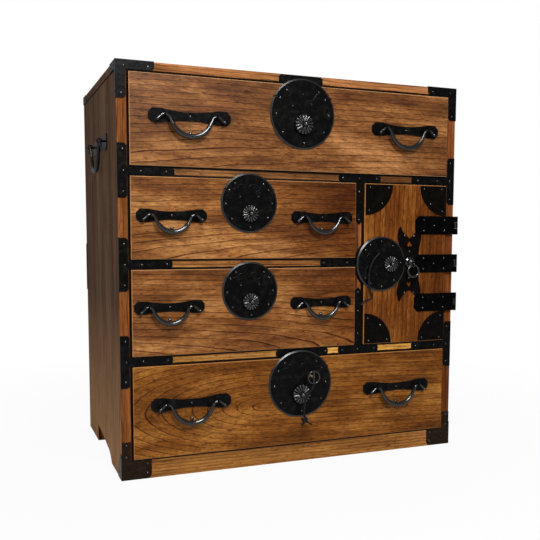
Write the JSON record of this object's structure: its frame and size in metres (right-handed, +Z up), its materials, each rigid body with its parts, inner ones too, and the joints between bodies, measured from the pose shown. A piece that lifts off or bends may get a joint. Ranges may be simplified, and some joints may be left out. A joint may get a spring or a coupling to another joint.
{
  "type": "tansu chest",
  "caption": "Low wooden chest with sliding drawers and a hinged side door, bound with black iron straps, round lock plates, flower bosses and swinging bail handles.",
  "frame": {"origin": "centre of the base on the floor", "axes": "+Z up, the drawers open towards -Y, +X to the right as seen from the front"},
  "size_m": [0.7402, 0.4735, 0.7612],
  "materials": {
    "case_wood": "dark wiped lacquer",
    "rail_wood": "wiped lacquer",
    "front_wood": "polished lacquer",
    "drawer_box_wood": "bare planed",
    "black_iron": "black",
    "worn_iron": "hand-worn black",
    "chased_iron": "chased, rubbed bright",
    "thong": "dark waxed"
  },
  "bodies": {
    "frame": {"top_board": "case_wood", "bottom_board": "case_wood", "left_side_board": "case_wood", "right_side_board": "case_wood", "back_panel": "case_wood", "base_rail": "rail_wood", "upper_divider": "rail_wood", "middle_divider": "rail_wood", "lower_divider": "rail_wood", "partition": "rail_wood", "compartment_shelf": "drawer_box_wood", "corner_irons": "black_iron", "base_boots": "black_iron", "rail_irons": "black_iron", "strike_plates": "black_iron", "hinge_frame_leaves": "black_iron", "hinge_pins": "worn_iron", "side_handle_mounts": "black_iron"},
    "top_drawer": {"top_drawer_front": "front_wood", "top_drawer_box": "drawer_box_wood", "top_drawer_lock_plate": "black_iron", "top_drawer_lock_rosette": "chased_iron", "top_drawer_handle_mounts": "black_iron"},
    "top_drawer_left_bail": {"top_drawer_left_bail": "worn_iron"},
    "top_drawer_right_bail": {"top_drawer_right_bail": "worn_iron"},
    "upper_drawer": {"upper_drawer_front": "front_wood", "upper_drawer_box": "drawer_box_wood", "upper_drawer_lock_plate": "black_iron", "upper_drawer_lock_rosette": "chased_iron", "upper_drawer_handle_mounts": "black_iron"},
    "upper_drawer_left_bail": {"upper_drawer_left_bail": "worn_iron"},
    "upper_drawer_right_bail": {"upper_drawer_right_bail": "worn_iron"},
    "lower_drawer": {"lower_drawer_front": "front_wood", "lower_drawer_box": "drawer_box_wood", "lower_drawer_lock_plate": "black_iron", "lower_drawer_lock_rosette": "chased_iron", "lower_drawer_handle_mounts": "black_iron"},
    "lower_drawer_left_bail": {"lower_drawer_left_bail": "worn_iron"},
    "lower_drawer_right_bail": {"lower_drawer_right_bail": "worn_iron"},
    "bottom_drawer": {"bottom_drawer_front": "front_wood", "bottom_drawer_box": "drawer_box_wood", "bottom_drawer_lock_plate": "black_iron", "bottom_drawer_lock_rosette": "chased_iron", "bottom_drawer_handle_mounts": "black_iron", "key_cord": "thong", "key_cord_knot": "thong"},
    "bottom_drawer_left_bail": {"bottom_drawer_left_bail": "worn_iron"},
    "bottom_drawer_right_bail": {"bottom_drawer_right_bail": "worn_iron"},
    "left_side_bail": {"left_side_bail": "worn_iron"},
    "right_side_bail": {"right_side_bail": "worn_iron"},
    "door": {"door_board": "front_wood", "door_corner_plates": "black_iron", "door_fret_plate": "black_iron", "hinge_door_leaves": "black_iron", "door_lock_plate": "black_iron", "door_lock_rosette": "chased_iron", "door_ring_post": "worn_iron", "door_cord": "thong"},
    "door_ring": {"door_ring": "worn_iron"},
    "key": {"key": "worn_iron"}
  },
  "joints": [
    {"name": "top_drawer_slide", "type": "slide", "parent": "frame", "child": "top_drawer", "axis": [0, -1, 0], "range_m": [0, 0.34]},
    {"name": "top_drawer_left_bail_swing", "type": "hinge", "parent": "top_drawer", "child": "top_drawer_left_bail", "pos_m": [-0.2208, -0.2226, 0.6685], "axis": [-1, 0, 0], "range_deg": [-5, 175]},
    {"name": "top_drawer_right_bail_swing", "type": "hinge", "parent": "top_drawer", "child": "top_drawer_right_bail", "pos_m": [0.229, -0.2226, 0.6685], "axis": [-1, 0, 0], "range_deg": [-5, 175]},
    {"name": "upper_drawer_slide", "type": "slide", "parent": "frame", "child": "upper_drawer", "axis": [0, -1, 0], "range_m": [0, 0.34]},
    {"name": "upper_drawer_left_bail_swing", "type": "hinge", "parent": "upper_drawer", "child": "upper_drawer_left_bail", "pos_m": [-0.2561, -0.2226, 0.4895], "axis": [-1, 0, 0], "range_deg": [-5, 175]},
    {"name": "upper_drawer_right_bail_swing", "type": "hinge", "parent": "upper_drawer", "child": "upper_drawer_right_bail", "pos_m": [0.0444, -0.2226, 0.4895], "axis": [-1, 0, 0], "range_deg": [-5, 175]},
    {"name": "lower_drawer_slide", "type": "slide", "parent": "frame", "child": "lower_drawer", "axis": [0, -1, 0], "range_m": [0, 0.34]},
    {"name": "lower_drawer_left_bail_swing", "type": "hinge", "parent": "lower_drawer", "child": "lower_drawer_left_bail", "pos_m": [-0.2616, -0.2226, 0.3217], "axis": [-1, 0, 0], "range_deg": [-5, 175]},
    {"name": "lower_drawer_right_bail_swing", "type": "hinge", "parent": "lower_drawer", "child": "lower_drawer_right_bail", "pos_m": [0.0429, -0.2226, 0.3217], "axis": [-1, 0, 0], "range_deg": [-5, 175]},
    {"name": "bottom_drawer_slide", "type": "slide", "parent": "frame", "child": "bottom_drawer", "axis": [0, -1, 0], "range_m": [0, 0.34]},
    {"name": "bottom_drawer_left_bail_swing", "type": "hinge", "parent": "bottom_drawer", "child": "bottom_drawer_left_bail", "pos_m": [-0.2218, -0.2226, 0.1395], "axis": [-1, 0, 0], "range_deg": [-5, 175]},
    {"name": "bottom_drawer_right_bail_swing", "type": "hinge", "parent": "bottom_drawer", "child": "bottom_drawer_right_bail", "pos_m": [0.2165, -0.2226, 0.1395], "axis": [-1, 0, 0], "range_deg": [-5, 175]},
    {"name": "left_side_bail_swing", "type": "hinge", "parent": "frame", "child": "left_side_bail", "pos_m": [-0.3645, -0.0146, 0.6305], "axis": [0, 1, 0], "range_deg": [-5, 175]},
    {"name": "right_side_bail_swing", "type": "hinge", "parent": "frame", "child": "right_side_bail", "pos_m": [0.3645, -0.0146, 0.6305], "axis": [0, -1, 0], "range_deg": [-5, 175]},
    {"name": "door_hinge", "type": "hinge", "parent": "frame", "child": "door", "pos_m": [0.3567, -0.2106, 0.394], "axis": [0, 0, 1], "range_deg": [0, 170]},
    {"name": "door_ring_swing", "type": "hinge", "parent": "door", "child": "door_ring", "pos_m": [0.244, -0.228, 0.393], "axis": [-1, 0, 0], "range_deg": [0, 100]},
    {"name": "key_turn", "type": "hinge", "parent": "bottom_drawer", "child": "key", "pos_m": [0.0185, -0.2246, 0.1745], "axis": [0, 1, 0], "range_deg": [0, 90]}
  ]
}
